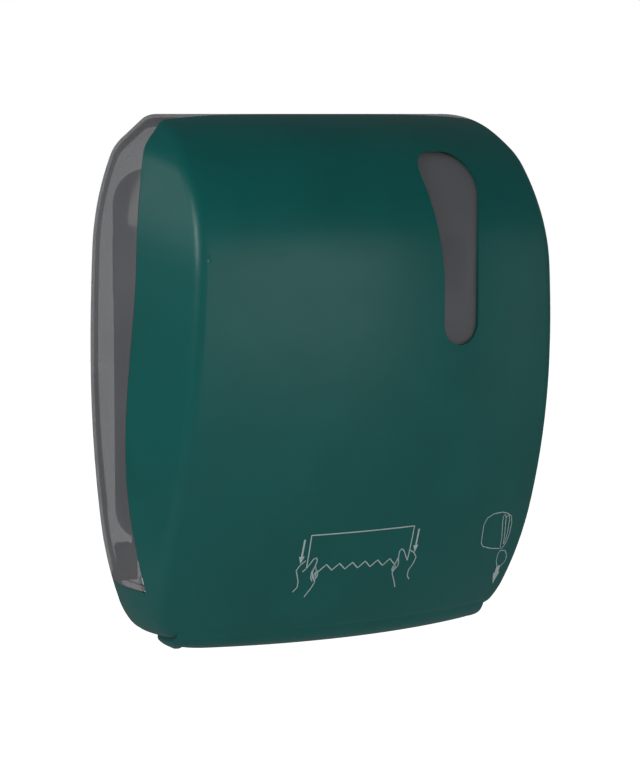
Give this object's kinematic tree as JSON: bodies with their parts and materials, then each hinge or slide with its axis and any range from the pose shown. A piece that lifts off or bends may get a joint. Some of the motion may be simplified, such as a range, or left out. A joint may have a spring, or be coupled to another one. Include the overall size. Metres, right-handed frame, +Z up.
{
  "type": "paper towel dispenser",
  "caption": "Wall-mounted roll towel dispenser: hinged barrel-shaped cover in a coloured front and a smoked shell, roll holders, and a pulled drum with a swinging serrated knife and feed lever.",
  "frame": {"origin": "middle of the wall screw pattern, on the wall face", "axes": "+X to the right of someone facing the dispenser, +Y into the wall, +Z up"},
  "size_m": [0.3302, 0.221, 0.371],
  "materials": {
    "green_shell": "satin, fine moulded texture",
    "smoked_shell": "smoked, glossy, translucent",
    "grey_plastic": "satin moulded",
    "dark_plastic": "matte moulded",
    "light_plastic": "satin moulded",
    "lever_green": "satin moulded",
    "steel": "ground",
    "zinc": "plated",
    "grip_rubber": "matte",
    "brass": "sintered"
  },
  "bodies": {
    "base": {"back_plate": "grey_plastic", "right_side_frame": "dark_plastic", "left_side_frame": "dark_plastic", "right_roll_arm": "grey_plastic", "left_roll_arm": "grey_plastic", "left_roll_stub": "steel", "plunger_spring": "steel", "drum_bushes": "brass", "knife_cams": "light_plastic", "pinch_pivot": "steel", "exit_guide": "dark_plastic", "stripper_comb": "dark_plastic", "guide_bar": "steel", "spring_post": "steel", "main_spring": "steel", "mechanism_guard": "dark_plastic", "back_pawl_pin": "steel", "keeper": "grey_plastic", "frame_screws": "zinc"},
    "cover": {"front_cover": "green_shell", "smoked_shell": "smoked_shell", "right_hinge_pin": "steel", "left_hinge_pin": "steel", "shell_screws": "zinc"},
    "lock": {"lock_barrel": "dark_plastic", "lock_tongue": "zinc"},
    "drum": {"drum_half_slotted": "light_plastic", "drum_half_plain": "light_plastic", "grip_rings": "grip_rubber", "drum_shaft": "steel", "crank_disc": "light_plastic", "crank_pin": "steel", "ratchet_wheel": "light_plastic"},
    "knife": {"knife_carrier": "zinc", "knife_blade": "steel", "follower_arms": "steel"},
    "pinch_arms": {"pinch_carriage": "dark_plastic"},
    "pinch_wheel": {"pinch_roller": "grip_rubber", "pinch_shaft": "steel"},
    "left_plug": {"left_core_plug": "light_plastic"},
    "right_plunger": {"plunger": "light_plastic"},
    "right_plug": {"right_core_plug": "light_plastic"},
    "lever": {"feed_lever": "lever_green"},
    "feed_dog": {"feed_pawl": "zinc"},
    "back_stop": {"back_pawl": "zinc"}
  },
  "joints": [
    {"name": "cover_hinge", "type": "hinge", "parent": "base", "child": "cover", "pos_m": [0, -0.026, -0.134], "axis": [1, 0, 0], "range_deg": [0, 85]},
    {"name": "lock_turn", "type": "hinge", "parent": "cover", "child": "lock", "pos_m": [0, -0.066, 0.17], "axis": [0, 0, -1], "range_deg": [0, 90]},
    {"name": "drum_spin", "type": "hinge", "parent": "base", "child": "drum", "pos_m": [0, -0.092, -0.092], "axis": [1, 0, 0], "continuous": true, "deforming": ["main_spring"]},
    {"name": "knife_swing", "type": "hinge", "parent": "drum", "child": "knife", "pos_m": [0, -0.10059, -0.11312], "axis": [1, 0, 0], "range_deg": [0, 40], "stiffness_Nm_per_rad": 0.1, "springref_deg": -57.3},
    {"name": "pinch_swing", "type": "hinge", "parent": "base", "child": "pinch_arms", "pos_m": [0, -0.03914, -0.07874], "axis": [-1, 0, 0], "range_deg": [0, 8], "stiffness_Nm_per_rad": 0.5, "springref_deg": -22.92},
    {"name": "pinch_spin", "type": "hinge", "parent": "pinch_arms", "child": "pinch_wheel", "pos_m": [0, -0.05894, -0.05894], "axis": [1, 0, 0], "continuous": true},
    {"name": "left_plug_spin", "type": "hinge", "parent": "base", "child": "left_plug", "pos_m": [0, -0.109, 0.077], "axis": [1, 0, 0], "continuous": true},
    {"name": "plunger_slide", "type": "slide", "parent": "base", "child": "right_plunger", "axis": [1, 0, 0], "range_m": [0, 0.005], "stiffness_N_per_m": 400, "springref_m": -0.01, "deforming": ["plunger_spring"]},
    {"name": "right_plug_spin", "type": "hinge", "parent": "right_plunger", "child": "right_plug", "pos_m": [0, -0.109, 0.077], "axis": [1, 0, 0], "continuous": true},
    {"name": "feed_lever_swing", "type": "hinge", "parent": "base", "child": "lever", "pos_m": [0, -0.092, -0.092], "axis": [1, 0, 0], "range_deg": [0, 30], "stiffness_Nm_per_rad": 0.3, "springref_deg": -17.19},
    {"name": "feed_pawl_swing", "type": "hinge", "parent": "lever", "child": "feed_dog", "pos_m": [0, -0.092, -0.13], "axis": [1, 0, 0], "range_deg": [0, 8], "stiffness_Nm_per_rad": 0.005, "springref_deg": -17.19},
    {"name": "back_pawl_swing", "type": "hinge", "parent": "base", "child": "back_stop", "pos_m": [0, -0.07358, -0.05876], "axis": [1, 0, 0], "range_deg": [0, 8], "stiffness_Nm_per_rad": 0.005, "springref_deg": -17.19}
  ],
  "couplings": [
    {"joint": "pinch_spin", "follows": "drum_spin", "ratio": -4.1556}
  ]
}
